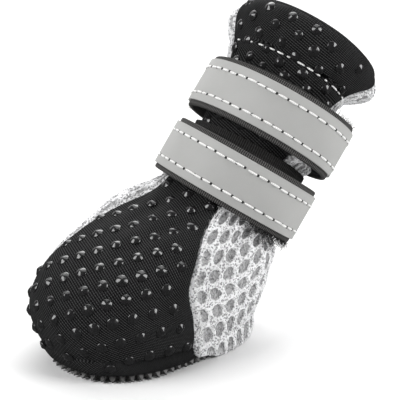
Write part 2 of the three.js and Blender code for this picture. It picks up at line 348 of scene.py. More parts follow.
# white spacer mesh: looped yarn whose small gaps are darker, as painted shade in the openings, a plain ring
# round each open cell, a grey layer at its bottom
def makeSpacerMesh():
    f = Finish("spacerMesh", Specular_IOR_Level=0.2)
    fibre, wide = f.noise(0.5, detail=3.0), f.noise(3.5)
    across, along = f.mark("cellColumn").fromWhole(), f.mark("cellRow").fromWhole()
    away = (across * across + along * along) ** 0.5 / cellRadius + (fibre - 0.5) * 0.25
    cell = ((1.0 - away) * 9.0).held() * f.mark("cells")
    ring = (1.0 - (away - 1.16).size() * 5.0).held() * f.mark("cells")
    # the yarn's dark tone in the small gaps between loops is painted shade
    loops = ((f.lumps(0.6) - 0.27) * 3.4 + (fibre - 0.5) * 2.2).held().most(ring)
    yarn = f.mix(loops, dark=(0.3, 0.3, 0.305), light=(0.82, 0.82, 0.83))
    specks = ((f.noise(0.8) - 0.34) * 6.0).held()
    under = f.mix(specks, dark=(0.2, 0.2, 0.202), light=(0.4, 0.4, 0.405))
    return f.dressed(cell, yarn, under, roughness=0.8 + wide * 0.15,
                     height=loops * 0.8 + fibre * 0.6 - cell * 0.6, deep=0.26)


# dark webbing: close ribs across its length
def makeWebbing(name, light):
    f = Finish(name, Specular_IOR_Level=0.2)
    ribs = f.wave(pitch=0.58) * 0.5 + 0.5
    warp = f.wave(pitch=0.9, across=0.0, along=1.0) * 0.5 + 0.5
    lint = f.noise(0.4)
    tone = ribs * 0.85 + warp * 0.15 + lint * 0.3 - 0.15
    return f.dressed(tone, dark=(0.006, 0.0058, 0.0058), light=light, roughness=0.7 + lint * 0.2,
                     height=ribs + warp * 0.3 + lint * 0.3, deep=0.2)


# satin grey tape: a bead coat with a faint grain and slight handling marks
def makeReflectiveTape():
    f = Finish("reflectiveTape", Specular_IOR_Level=0.35)
    grain, cloud = f.noise(0.18), f.noise(7.0, detail=3.0)
    return f.dressed(grain * 0.35 + cloud * 0.65, dark=(0.345, 0.345, 0.338), light=(0.415, 0.415, 0.406),
                     roughness=0.48 + cloud * 0.16, height=grain * 0.6 + cloud * 0.6, deep=0.05)


def makeThread():
    f = Finish("whiteThread", Sheen_Weight=0.2)
    ply = f.wave(pitch=0.5) * 0.5 + 0.5
    return f.dressed(ply, dark=(0.74, 0.74, 0.73), light=(0.93, 0.93, 0.92), roughness=0.6 + ply * 0.1,
                     height=ply, deep=0.06)


# a needle hole is a small dimple coloured near black: painted shade inside the hole
def makeNeedleHoleShade():
    f = Finish("needleHole")
    return f.dressed(f.noise(0.3), dark=(0.008, 0.008, 0.008), light=(0.03, 0.03, 0.03), roughness=0.9)


# fuzzy loop side of the fastener
def makeFastener():
    f = Finish("fastenerLoop", Specular_IOR_Level=0.15)
    curls, lint = f.lumps(0.5), f.noise(0.25, detail=3.0)
    return f.dressed(curls * 0.8 + lint * 0.4, dark=(0.006, 0.006, 0.0065), light=(0.05, 0.049, 0.048),
                     roughness=0.85 + lint * 0.1, height=curls + lint, deep=0.3)


# sole rubber: matt, with random grit and lighter patches; kept darker than the teeth's copy of the same rubber,
# as painted shade between the teeth
def makeSoleRubber():
    f = Finish("soleRubber", Specular_IOR_Level=0.3)
    grit, wear = f.noise(0.4, detail=3.0), f.noise(5.0)
    return f.dressed(grit * 0.5 + wear * 0.4, dark=(0.006, 0.006, 0.0062), light=(0.03, 0.0298, 0.029),
                     roughness=0.5 + wear * 0.25, height=grit, deep=0.08)


# plain matt finishes: one noise makes the tone, the roughness and the bump
def makeMatt(name, grain, dark, light, roughness, vary, deep, **constants):
    f = Finish(name, **constants)
    grit = f.noise(grain, detail=3.0)
    return f.dressed(grit, dark, light, roughness + grit * vary, grit, deep)


finishes = {
    "knit": makeGripKnit(), "dot": makeDotRubber(), "mesh": makeSpacerMesh(),
    "webbing": makeWebbing("webbing", light=(0.125, 0.122, 0.119)),
    # the lower band: a darker copy of the strap webbing, painted shade for the gap between the straps
    "band": makeWebbing("shadedBandWebbing", light=(0.035, 0.034, 0.034)),
    "tape": makeReflectiveTape(), "thread": makeThread(), "hole": makeNeedleHoleShade(),
    "fastener": makeFastener(), "sole": makeSoleRubber(),
    # the teeth's rubber: the sole's own rubber made lighter, painted light where the teeth's facets catch the
    # lamps
    "treadWithPaintedLight": makeMatt("treadWithPaintedLight", grain=0.4, dark=(0.03, 0.03, 0.03), light=(0.12, 0.119, 0.117),
                      roughness=0.4, vary=0.2, deep=0.06, Specular_IOR_Level=0.5),
    "insole": makeMatt("insoleBoard", grain=0.5, dark=(0.03, 0.03, 0.033), light=(0.075, 0.075, 0.08),
                       roughness=0.85, vary=0.1, deep=0.15, Sheen_Weight=0.2),
}
print("finishes made:", len(finishes))

# where the grip panel ends on each side, in degrees from the toe line
panel = {
    "edges": np.array([
        # level right left
        [0, -84, 90], [1.5, -73, 88], [2.6, -50, 80], [3.9, -39, 63], [5.4, -36, 42],
        [7, -58, 69], [8.2, -52, 92], [9.5, -40, 112], [11, -42, 122],
    ]),
    "thickness": 0.8, "seat": 0.3, "proud": 0.1, "edgeGap": 0.35, "reach": 20, "foot": 0.06,
    "hemFade": 6, "edgeSink": 0.25, "edgeWide": 2.2, "rows": 230, "columns": 84,
}
panelSink = panel["thickness"] + panel["seat"] - panel["proud"]


def panelEdgesAt(level):
    place = np.interp(level, panel["edges"][:, 0], np.arange(len(panel["edges"])))
    return np.moveaxis(smoothRows(panel["edges"][:, 1:], place), -1, 0)


# creases, each a soft trough: level and angle of its middle, half length, half width in mm, turn, depth
creases = [
    # level angle long wide turn deep
    (4.75, 30, 9, 1.6, 62, 0.55), (4.85, -2, 8, 1.4, 95, 0.45), (5.0, -30, 8, 1.5, 118, 0.5),
    (4.5, 80, 8, 1.7, 80, 0.5), (4.6, 128, 9, 1.8, 92, 0.6), (4.6, 205, 9, 1.8, 84, 0.6),
    (4.5, 265, 8, 1.7, 100, 0.5), (9.25, 10, 6, 1.3, 84, 0.4), (9.3, 62, 6, 1.3, 100, 0.45),
    (9.3, 150, 7, 1.6, 88, 0.55), (9.3, 230, 7, 1.6, 95, 0.5),
]
creaseLip = 0.35    # the cloth swells on both sides of a crease by this share of its depth


# depth of all creases at a place: a bell across each crease times a bell along it, with a lip on either side
def creaseDepth(level, angle):
    total = np.zeros(np.broadcast(level, angle).shape)
    for middle, way, long, wide, turn, deep in creases:
        way, turn = np.radians([way, turn])
        reach = np.linalg.norm((lastSurface(middle, way) - smoothRows(sections, middle)[:3])[:2])
        around, upward = np.radians(fromToe(angle - way)) * reach, (level - middle) * levelStep
        along = bell(around * np.cos(turn) + upward * np.sin(turn), long)
        sideways = -around * np.sin(turn) + upward * np.cos(turn)
        lips = bell(sideways - 2 * wide, wide) + bell(sideways + 2 * wide, wide)
        total += deep * along * (creaseLip * lips - bell(sideways, wide))
    return total


hem = {
    "puff": 0.9, "round": 0.7, "pucker": 0.21, "puckerPitch": 23.25, "rise": 0.9,
    "trough": 0.4, "troughWide": 0.09, "troughBelow": 0.03,
}


# the folded hem swells between its stitch line and the collar, with soft puckers round it
def hemSwell(level, angle):
    run = np.clip((level - last["hem"]) / (last["collar"] - last["hem"]), 0, 1)
    arch = np.maximum(np.sin(math.pi * run), 0)
    pucker = hem["pucker"] * np.sin(np.degrees(angle) * 2 * math.pi / hem["puckerPitch"]) * arch
    trough = hem["trough"] * bell(level - last["hem"] + hem["troughBelow"], hem["troughWide"])
    return hem["puff"] * arch ** hem["round"] + pucker - trough


# the folded hem slumps: its left corner sinks and bulges, its right side stands out a little
slumps = [
    # side from to level tall move
    (1, (55, 118), (140, 180), 10.4, 0.75, (-0.9, 1.3, -2.3)),
    (-1, (15, 60), (110, 150), 9.9, 0.8, (0.95, -1.1, 0.0)),
]


def slumpMove(level, angle):
    total = np.zeros((*angle.shape, 3))
    for side, start, stop, middle, tall, move in slumps:
        turn = fromToe(angle) * side
        much = ramp(turn, *start) * (1 - ramp(turn, *stop)) * bell(level - middle, tall)
        total += much[..., None] * np.array(move)
    return total


# just over the sole the cloth rolls out and hangs over its edge, lowest round the heel
overhang = {
    "out": 1.4, "outRound": 0.7, "frontDrop": 1.0, "heelDrop": 3.5, "dropRound": 1.8,
    "heel": (92, 106), "early": 0.65, "facing": 0.5, "lowest": 0.1,
}


def overhangMove(level, angle):
    heel = ramp(np.abs(fromToe(angle)), *overhang["heel"])
    drop = overhang["frontDrop"] + (overhang["heelDrop"] - overhang["frontDrop"]) * heel
    arch = np.maximum(np.sin(math.pi * np.clip(level, 0, 1) ** overhang["early"]), 0)
    away = lastNormal(np.full_like(level, overhang["facing"]), angle)
    away[..., 2] = 0
    move = unit(away) * (overhang["out"] * arch ** overhang["outRound"])[..., None]
    move[..., 2] -= drop * arch ** overhang["dropRound"]
    return move


# a point of the outer cloth: off the last, then rolled over the sole's edge and slumped
def clothPoint(level, angle, grow):
    return lastPoint(level, angle, grow) + overhangMove(level, angle) + slumpMove(level, angle)


# a point of the collar or the lining, which only slumps
def liningPoint(level, angle, grow):
    level = np.full_like(angle, level)
    return lastPoint(level, angle, grow) + slumpMove(level, angle)


collarAxis = sectionAxis(sections[-1])

# the mesh upper: cells in slanting rows, each a pit with a raised rim, and a seam up the back
mesh = {
    "wall": 2.2, "step": 1.2, "frontColumns": 24, "backColumns": 272, "rows": 292,
    "pitDeep": 0.55, "pitEdge": (0.84, 1.05), "rim": 0.2, "rimAt": 1.15, "rimWide": 0.16, "yarn": 0.07,
    "edgeFade": (0.6, 2.4), "cellsFrom": (0.25, 0.7), "cellsTo": (10.55, 10.9),
    "evenTurn": 45, "evenColumns": (5, 11),
    "seamAt": 180, "seamWide": 1.6, "seamDeep": 0.5, "seamFrom": (0.1, 0.4),
    "collarTurns": (40, 90, 140), "panelRise": 0.3, "liningRows": 21, "footIn": 1.3,
}
# the mesh puffs out all over the foot, in a roll between the straps and in two bulges
puffs = {
    "foot": {"high": 0.35, "from": (0.2, 1.2), "to": (4.4, 5.2)},
    "roll": {"high": 2.0, "level": 7.38, "tall": 0.2, "to": (190, 230)},
    "bulges": [
        # high turn wide level tall
        (2.3, 296, 26, 4.7, 0.6), (1.7, 134, 16, 10.1, 0.6),
    ],
}
# by level: the angle where the cells' first column stands, the count of rows, and how wide the columns
# and how steep the rows are there
cellStarts = np.array([
    # level angle row wide steep
    [0, 98, -0.6, 1, 0.4], [0.5, 96.5, 0, 1, 0.4], [1.4, 92.7, 1, 1, 0.42], [2.1, 88, 2, 1, 0.5],
    [2.9, 82.6, 3, 1.04, 0.72], [3.5, 72.6, 4, 1.23, 1.1], [4.05, 64.6, 5, 1.32, 1.65],
    [4.6, 57.5, 6, 1.42, 1.7], [5.2, 52, 7.1, 1.45, 1.6], [11, 0, 17.7, 1.45, 1],
])
# by column: its turn from the first one, and how far its rows have climbed
cellColumns = np.array([
    # column turn climb
    [-6, -39, 0], [0, 0, 0], [1, 6.5, 0.07], [2, 13.3, 0.17], [3, 20.8, 0.38], [4, 29.5, 0.75],
    [5, 40, 1.2], [12, 98, 2.6], [35, 289, 2.6],
])


# the count of columns and rows at a place of the mesh; both even out towards the back
def cellCounts(level, angle):
    start, row, wide, steep = (np.interp(level, cellStarts[:, 0], cellStarts[:, k]) for k in (1, 2, 3, 4))
    turn = np.degrees(angle) - start
    turn = np.minimum(turn, mesh["evenTurn"]) / wide + np.maximum(turn - mesh["evenTurn"], 0)
    column = np.interp(turn, cellColumns[:, 1], cellColumns[:, 0])
    steep = steep + (1 - steep) * ramp(column, *mesh["evenColumns"])
    return column, row - np.interp(column, cellColumns[:, 0], cellColumns[:, 2]) * steep


def meshRelief(column, row):
    away = np.hypot(column - np.round(column), row - np.round(row)) / cellRadius
    pit = 1 - ramp(away, *mesh["pitEdge"])
    return mesh["rim"] * bell(away - mesh["rimAt"], mesh["rimWide"]) - mesh["pitDeep"] * pit


def meshPuff(level, turn):
    foot, roll = puffs["foot"], puffs["roll"]
    total = foot["high"] * ramp(level, *foot["from"]) * (1 - ramp(level, *foot["to"]))
    total += roll["high"] * bell(level - roll["level"], roll["tall"]) * (1 - ramp(turn, *roll["to"]))
    for high, middle, wide, at, tall in puffs["bulges"]:
        total += high * bell(turn - middle, wide) * bell(level - at, tall)
    return total


# the grid goes round the boot: a sunken step under the panel, then the mesh; and over the collar, down inside
def buildMeshUpper():
    level = np.linspace(0, last["collar"], mesh["rows"])[:, None]
    right, left = panelEdgesAt(level)
    f = np.linspace(0, 1, mesh["frontColumns"])[None]
    b = np.linspace(0, 1, mesh["backColumns"])[None]
    start, stop = left + mesh["step"], right - mesh["step"] + 360
    angle = np.radians(np.concatenate([right + (left - right) * f, start + (stop - start) * b], 1))
    level = np.broadcast_to(level, angle.shape)
    turn = np.degrees(angle)
    back = np.concatenate([f * 0, b * 0 + 1], 1)
    column, row = cellCounts(level, angle)
    edge = ramp(np.minimum(b, 1 - b) * (stop - start), *mesh["edgeFade"])
    inside = np.concatenate([np.zeros((mesh["rows"], mesh["frontColumns"])), edge], 1)
    seam = bell(turn - mesh["seamAt"], mesh["seamWide"]) * ramp(level, *mesh["seamFrom"])
    cells = inside * ramp(level, *mesh["cellsFrom"]) * (1 - ramp(level, *mesh["cellsTo"])) * (1 - seam)
    yarn = mesh["yarn"] * scatter(angle.shape)
    soft = (meshPuff(level, turn) + creaseDepth(level, angle) + yarn) * inside
    grow = hemSwell(level, angle) + meshRelief(column, row) * cells + soft - mesh["seamDeep"] * seam
    grow = np.where(back > 0, grow, -panelSink)
    rolled = overhangMove(level, angle) * back[..., None]
    outer = lastPoint(level, angle, grow) + rolled + slumpMove(level, angle)
    outer[..., 2] = np.maximum(outer[..., 2], overhang["lowest"])

    top = angle[-1]
    depth = np.where(back[0] > 0, 0.0, panelSink)
    rise = np.where(back[0] > 0, hem["rise"], mesh["panelRise"])[:, None]
    rim = []
    for over in np.radians(mesh["collarTurns"]):
        across = depth + (mesh["wall"] - depth) * (1 - np.cos(over)) / 2
        rim.append(liningPoint(last["collar"], top, -across) + collarAxis * np.sin(over) * rise)
    inner = []
    for down in np.linspace(last["collar"], 1, mesh["liningRows"]):
        ring = angle[int(round(down / last["collar"] * (mesh["rows"] - 1)))]
        inner.append(liningPoint(down, ring, -mesh["wall"]))
    foot = ringPoints(feather, angle[0], -mesh["wall"] * mesh["footIn"])
    foot[:, 2] += toeLift(foot[:, 0], foot[:, 2])
    points = np.concatenate([outer, rim, inner, foot[None]])
    faces, _ = ringFaces(*points.shape[:2], looped=True)
    rest = len(points) - mesh["rows"]
    marks = {"cellColumn": column, "cellRow": row, "cells": cells}
    marks = {key: np.pad(values, ((0, rest), (0, 0))) for key, values in marks.items()}
    addPiece("meshUpper", points, faces, "mesh", marks=marks, replaces=("upper",))
    print("mesh upper:", len(faces), "faces")


# outer face of the grip panel: the hem's swell and the creases, a little sunk along its edges
def panelFace(level, angle):
    right, left = panelEdgesAt(level)
    turn = np.degrees(angle)
    edge = np.minimum(turn - right, left - turn)
    swell = hemSwell(level, angle) * ramp(edge, 0, panel["hemFade"]) + creaseDepth(level, angle)
    return clothPoint(level, angle, panel["proud"] + swell - panel["edgeSink"] * bell(edge, panel["edgeWide"]))


# angle from one direction to another, seen along the normal
def turnBetween(first, second, normal):
    return np.arctan2((np.cross(first, second) * normal).sum(-1), (first * second).sum(-1))


# a grid laid flat: its middle column, then each row out from it, turning as much as it turns within the surface
def unrolled(points):
    middle = points.shape[1] // 2
    normal = unit(np.cross(np.gradient(points, axis=1), np.gradient(points, axis=0)))
    across, up = np.diff(points, axis=1), np.diff(points[:, middle], axis=0)
    climb = np.cumsum(turnBetween(up[:-1], up[1:], normal[1:-1, middle]))
    climb = np.concatenate([[0.0], climb]) + math.pi / 2
    spine = np.linalg.norm(up, axis=-1)[:, None] * np.stack([np.cos(climb), np.sin(climb)], -1)
    spine = np.concatenate([np.zeros((1, 2)), np.cumsum(spine, 0)])
    climb, up = np.append(climb, climb[-1]), np.concatenate([up, up[-1:]])
    bend = np.cumsum(turnBetween(across[:, :-1], across[:, 1:], normal[:, 1:-1]), 1)
    bend = np.concatenate([np.zeros((len(bend), 1)), bend], 1)
    start = climb - turnBetween(across[:, middle], up, normal[:, middle])
    bend += (start - bend[:, middle])[:, None]
    steps = np.linalg.norm(across, axis=-1)[..., None] * np.stack([np.cos(bend), np.sin(bend)], -1)
    flat = np.concatenate([np.zeros((len(bend), 1, 2)), np.cumsum(steps, 1)], 1)
    return flat - flat[:, middle:middle + 1] + spine[:, None]


# the panel's fold over the collar, as rise and depth into the wall; then how deep it lies further down inside
fold = {
    "outer": [(0.5, -0.05), (1.0, -0.5), (1.25, -1.55), (1.0, -2.6), (0.5, -3.05), (0, -3.2)],
    "inner": [(0.35, -0.72), (0.6, -1.1), (0.7, -1.6), (0.6, -2.1), (0.35, -2.45), (0, -2.5)],
    "lining": {"outer": -3.15, "inner": -2.5}, "levels": (10.6, 10.2, 9.8),
}


# the panel is a strip that runs up the boot, over the collar and a little way down inside
def buildGripPanel():
    level = np.linspace(panel["foot"], last["collar"], panel["rows"])[:, None]
    right, left = panelEdgesAt(level)
    gap = np.degrees(panel["edgeGap"] / panel["reach"])
    f = np.linspace(0, 1, panel["columns"])[None]
    angle = np.radians(right + gap + (left - right - 2 * gap) * f)
    level = np.broadcast_to(level, angle.shape)
    sheets = {"outer": panelFace(level, angle), "inner": clothPoint(level, angle, panel["seat"] - panelSink)}
    for key in sheets:
        over = [liningPoint(last["collar"], angle[-1], depth) + collarAxis * rise for rise, depth in fold[key]]
        down = [liningPoint(at, angle[-1], fold["lining"][key]) for at in fold["levels"]]
        sheets[key] = np.concatenate([sheets[key], over, down])
    loop = np.concatenate([sheets["outer"], sheets["inner"][:, ::-1]], 1)
    cloth = unrolled(sheets["outer"])
    cloth = np.concatenate([cloth, cloth[:, ::-1], cloth[:, :1]], 1)
    faces, uv = ringFaces(*loop.shape[:2], cloth=cloth)
    addPiece("gripPanel", loop, faces, "knit", uv=uv, replaces=("front_panel",))
    print("grip panel:", len(faces), "faces")


# dots lie in rows: each row is the panel's cut by a sloping plane, and the dots step along it
dots = {
    "rowAxis": np.array([0.017, 0.106, -0.1884]), "rowStart": 7.17, "nearRow": 0.03, "fewest": 8,
    "columnAxis": np.array([0.1328, -0.1568, -0.0833]), "columnStart": 2.18,
    "pitch": 4.75, "stretch": (0.86, 1.16), "margin": 1.5, "bandBelow": 0.1, "bandAbove": 0.02,
    "levels": (0.12, 10.85), "fine": 520, "inset": 0.01, "columns": 160,
    "hemFrom": (8.95, 9.1), "hemRow": -0.28, "hemColumn": 0.55,
    "radius": 1.42, "high": 0.78, "blunt": 0.42, "shoulder": 0.86, "coneHigh": 0.67,
    "uneven": 0.06, "sides": 20,
}
# a dot's round edge, as reach and height, and then steps from its shoulder to its tip
dotEdge = np.array([[1.0, -0.4], [1.0, 0.05], [0.985, 0.12], [0.95, 0.2], [0.9, 0.27]])
dotSteps = np.array([1.0, 0.86, 0.7, 0.54, 0.4, 0.28, 0.16, 0.06, 0.01])


def underBand(level):
    return np.any([(level > low - dots["bandBelow"]) & (level < high + dots["bandAbove"])
                   for low, high in bands.values()], 0)


def dotPlaces():
    level = np.linspace(*dots["levels"], dots["fine"])[:, None]
    right, left = panelEdgesAt(level)
    f = np.linspace(dots["inset"], 1 - dots["inset"], dots["columns"])[None]
    angle = np.radians(right + (left - right) * f)
    level = np.broadcast_to(level, angle.shape)
    points = lastSurface(level, angle)
    folded = ramp(level, *dots["hemFrom"])
    row = points @ dots["rowAxis"] + dots["rowStart"] + dots["hemRow"] * folded
    column = points @ dots["columnAxis"] + dots["columnStart"] + dots["hemColumn"] * folded
    least, most = (share / dots["pitch"] for share in dots["stretch"])
    places = []
    for number in range(int(row.min()) - 1, int(row.max()) + 2):
        nearest, k = np.abs(row - number).argmin(0), np.arange(dots["columns"])
        good = np.abs(row[nearest, k] - number) < dots["nearRow"]
        if good.sum() < dots["fewest"]:
            continue
        k, nearest = k[good], nearest[good]
        walk, count = walked(points[nearest, k]), column[nearest, k]
        middle = len(k) // 2
        # the tiny slope keeps two places from being the same
        slope = np.clip(np.abs(np.gradient(count, walk + np.arange(len(k)) * 1e-6)), least, most)
        run = -np.cumsum(slope * np.diff(walk, prepend=walk[:1]))
        run += count[middle] - run[middle]
        inside = (walk > dots["margin"]) & (walk < walk[-1] - dots["margin"])
        whole = np.arange(math.ceil(run[inside].min()), math.floor(run[inside].max()) + 1)
        at = np.interp(whole, run[::-1], walk[::-1])
        place = np.stack([np.interp(at, walk, values[nearest, k]) for values in (level, angle)], -1)
        places.append(place[~underBand(place[:, 0])])
    return np.concatenate(places)


# a dot is a blunt cone with a round shoulder: the cone falls as a hyperbola from its tip to the shoulder
def buildGripDots():
    level, angle = dotPlaces().T
    centre, normal = panelFace(level, angle), lastNormal(level, angle)
    fall = np.sqrt(dotSteps**2 + dots["blunt"] ** 2) - dots["blunt"]
    out = np.concatenate([dotEdge[:, 0], dotSteps * dots["shoulder"]])[:, None]
    rise = np.concatenate([dotEdge[:, 1], 1 - dots["coneHigh"] * fall / fall[0]])[:, None]
    radius = (1 + dots["uneven"] * scatter(len(level)))[:, None, None] * dots["radius"]
    points, faces = turned(centre, normal, [0, 0, 1], out * radius, rise * dots["high"], dots["sides"])
    addPiece("gripDots", points, faces, "dot")
    print("grip dots:", len(level))


# the two strap loops, as the solids have them
straps = {
    "lower": np.array([-19, 3.9, 41.6, 27.5, 12.5, 18, 19, 20.6, 2]),
    "upper": np.array([-29.6, 5.7, 57.2, 31.5, 10, 17.5, 17.6, 22, 2]),
}
webbing = {
    "width": 15, "thickness": 1.45, "outside": -0.55, "corner": 0.45, "turns": 240,
    "lapFrom": 170, "lapTo": 226, "lapTurns": 60, "lapGap": 0.05, "lap": 1.2, "lapCorner": 0.4,
}
tape = {"width": 12.4, "proud": 0.1, "deep": 0.6, "corner": 0.1, "from": -128, "to": 152, "turns": 220}


# a point of a loop: across is along the band's width, grow is out of its face
def strapPoint(strap, angle, across, grow):
    return ringPoints(strap, angle, grow) + sectionAxis(strap) * np.asarray(across, float)[..., None]


def loopWalk(strap, angle):
    return walked(strapPoint(strap, angle, 0, 0.0))


# a loop is not quite round: its face sways as two sines on its way, one of them with a twist
sways = [
    # times high start twist
    (3, 0.108, 0.7, 0), (5, 0.072, 0, 0.12),
]


def sway(angle, across):
    return sum(high * np.sin(times * angle + start + across * twist) for times, high, start, twist in sways)


# a band's section: a flat rectangle with round corners, as across and grow
def bandSection(width, inside, outside, corner):
    half, middle, thick = width / 2, (inside + outside) / 2, (outside - inside) / 2
    step = 15    # degrees
    turn = np.radians(np.arange(0, 360, step) + step / 2)
    across = np.sign(np.cos(turn)) * (half - corner) + corner * np.cos(turn)
    grow = middle + np.sign(np.sin(turn)) * (thick - corner) + corner * np.sin(turn)
    return across, grow


def bandPoints(strap, angle, across, grow, loose):
    a, s = grid(angle, across)
    return strapPoint(strap, a, s, grow + sway(a, s) * loose)


def buildStrap(name, strap):
    inside, outside = webbing["outside"] - webbing["thickness"], webbing["outside"]
    across, grow = bandSection(webbing["width"], inside, outside, webbing["corner"])
    angle = circle(webbing["turns"])
    points = bandPoints(strap, angle, across, grow, True)
    girth = np.cumsum(np.hypot(np.diff(across, append=across[0]), np.diff(grow, append=grow[0])))
    girth, walk = np.append(0, girth), loopWalk(strap, np.append(angle, 2 * math.pi))
    faces, uv = ringFaces(*points.shape[:2], True, np.stack(grid(walk, girth), -1))
    addPiece(f"webbing_{name}", points, faces, "webbing", uv=uv, replaces=(f"strap_{name}",))

    # the free end, laid over the loop at the back
    lap = np.radians(np.linspace(webbing["lapFrom"], webbing["lapTo"], webbing["lapTurns"]))
    across, grow = bandSection(webbing["width"], outside + webbing["lapGap"], outside + webbing["lap"],
                               webbing["lapCorner"])
    points = bandPoints(strap, lap, across, grow, False)
    cloth = np.stack(grid(loopWalk(strap, lap), girth), -1)
    faces, uv = ringFaces(*points.shape[:2], cloth=cloth)
    addPiece(f"strapEnd_{name}", points, faces, "webbing", uv=uv)


def buildTape(name, strap):
    angle = np.radians(np.linspace(tape["from"], tape["to"], tape["turns"]))
    across, grow = bandSection(tape["width"], tape["proud"] - tape["deep"], tape["proud"], tape["corner"])
    points = bandPoints(strap, angle, across, grow, True)
    faces, _ = ringFaces(*points.shape[:2])
    addPiece(f"tape_{name}_band", points, faces, "tape", replaces=(f"tape_{name}",))


# stitches: a short round thread for each, bowed out of the face, with a needle hole between two
stitch = {
    "pitch": 3.07, "length": 2.5, "thread": 0.26, "bow": 0.2, "hole": 0.42, "first": 0.4, "endGap": 2,
    "uneven": 0.25, "unevenLength": 0.15, "unevenLine": 0.06, "steps": 9, "sides": 8,
    "endThick": 0.35, "taper": 0.4, "tip": 0.04, "fine": 900,
}
tapeRows = {"lower": (3.7, -3.9), "upper": (3.7, -4.0)}
# a needle hole is a round dimple, here as reach and height
holeProfile = np.array([[0.3, -0.3], [1.0, -0.1], [0.8, 0.08]])


# a row of threads from their ends: each bows out along its normal, thickest in its middle
def threads(start, stop, normal, thick, bow):
    f = np.linspace(0, 1, stitch["steps"])
    side = unit(np.cross(normal, unit(stop - start)))
    line = start[:, None] + (stop - start)[:, None] * f[:, None]
    line = line + normal[:, None] * (bow * np.sin(math.pi * f))[:, None]
    body = np.sin(math.pi * np.clip(f, stitch["tip"], 1 - stitch["tip"])) ** stitch["taper"]
    radius = thick * (stitch["endThick"] + (1 - stitch["endThick"]) * body)
    points, faces = tubesAlong(line, side, normal, radius, stitch["sides"])
    length = np.linalg.norm(stop - start, axis=-1)[:, None, None] * f[:, None]
    cloth = np.stack(np.broadcast_arrays(length, np.zeros(stitch["sides"])), -1).reshape(-1, 2)
    return points, faces, cloth[faces]


def buildTapeStitches(name, strap):
    ends = tape["from"] + stitch["endGap"], tape["to"] - stitch["endGap"]
    fine = np.radians(np.linspace(*ends, stitch["fine"]))
    walk = loopWalk(strap, fine)

    def onTape(at, across, lift=0.0):
        angle = np.interp(at, walk, fine)
        return strapPoint(strap, angle, across, tape["proud"] + lift + sway(angle, across))

    def outOfTape(at, across):
        return unit(onTape(at, across, 1.0) - onTape(at, across))

    count = int(walk[-1] / stitch["pitch"])
    rows = []
    for row in tapeRows[name]:
        late, longer, aside = scatter((3, count))
        at = (np.arange(count) + stitch["first"]) * stitch["pitch"] + stitch["uneven"] * late
        end = at + stitch["length"] + stitch["unevenLength"] * longer
        rows.append((at, end, row + stitch["unevenLine"] * aside))
    at, end, across = np.concatenate(rows, 1)
    points, faces, uv = threads(onTape(at, across), onTape(end, across), outOfTape((at + end) / 2, across),
                                stitch["thread"], stitch["bow"])
    addPiece(f"tapeStitches_{name}", points, faces, "thread", uv=uv)
    # needle holes between the stitches, coloured near black as painted shade inside each hole
    gap = end + (stitch["pitch"] - stitch["length"]) / 2
    points, faces = turned(onTape(gap, across), outOfTape(gap, across), [0.3, 0.2, 1.0],
                           holeProfile[:, :1] * stitch["hole"], holeProfile[:, 1:], stitch["sides"])
    addPiece(f"needleHoles_{name}", points, faces, "hole")


# the hem's stitch line: white thread that dips in and out of the knit, so its stitches show uneven lengths
hemStitch = {
    "from": -33, "to": 112, "below": 0.07, "first": 0.6, "endGap": 2, "pitch": 2.9,
    "shortest": 0.5, "spread": 2.0, "lift": 0.1, "thread": 0.24, "bow": 0.16, "fine": 700,
}


def buildHemStitches():
    fine = np.radians(np.linspace(hemStitch["from"], hemStitch["to"], hemStitch["fine"]))
    height = last["hem"] - hemStitch["below"]
    walk = walked(panelFace(np.full_like(fine, height), fine))
    at = np.arange(hemStitch["first"], walk[-1] - hemStitch["endGap"], hemStitch["pitch"])
    length = hemStitch["shortest"] + hemStitch["spread"] * rng.random(len(at))
    start, stop = np.interp(at, walk, fine), np.interp(at + length, walk, fine)
    level = np.full_like(at, height)
    normal = lastNormal(level, (start + stop) / 2)
    first, final = (panelFace(level, end) + normal * hemStitch["lift"] for end in (start, stop))
    points, faces, uv = threads(first, final, normal, hemStitch["thread"], hemStitch["bow"])
    addPiece("hemStitches", points, faces, "thread", uv=uv)


# fastener bands sewn round the shaft under the loops, each between two levels
bands = {"lower": (6.2, 7.15), "upper": (7.6, 8.95)}
bandSize = {"clear": 0.45, "thickness": 0.8, "rows": 24, "turns": 180, "step": 0.52, "rough": 0.05}


def buildFastener(name, span):
    rows, turns = bandSize["rows"], bandSize["turns"]
    inside = panel["proud"] + bandSize["clear"]
    up = np.linspace(*span, rows)
    level = np.concatenate([up, up[::-1]])
    grow = np.repeat([inside + bandSize["thickness"], inside], rows)[:, None]
    lv, an = grid(level, circle(turns))
    rough = bandSize["rough"] * scatter(lv.shape) * (np.arange(2 * rows) < rows)[:, None]
    points = lastPoint(lv, an, grow + rough)
    walk = np.arange(turns + 1) * bandSize["step"]
    cloth = np.stack(grid(np.append(level, level[0]) * levelStep, walk)[::-1], -1)
    faces, uv = ringFaces(*points.shape[:2], True, cloth)
    # the lower band takes the darker webbing copy, painted shade for the gap between the straps
    addPiece(f"fastener_{name}", points, faces, "band" if name == "lower" else "fastener",
             uv=uv, replaces=(f"base_{name}",))


# teeth round the sole's edge: small four-sided pyramids that point out and down, longer round the toe
teeth = {
    "pitch": 2.2, "base": 2.0, "tall": 1.5, "frontTall": 2.1, "front": (66, 86),
    "reach": 0.4, "up": 1.35, "lean": 30, "lowest": 0.02, "fine": 3000,
    "size": np.array([1.0, 1.0, 0.14, 0.06]), "out": np.array([-0.3, 0.0, 0.94, 1.0]),
}


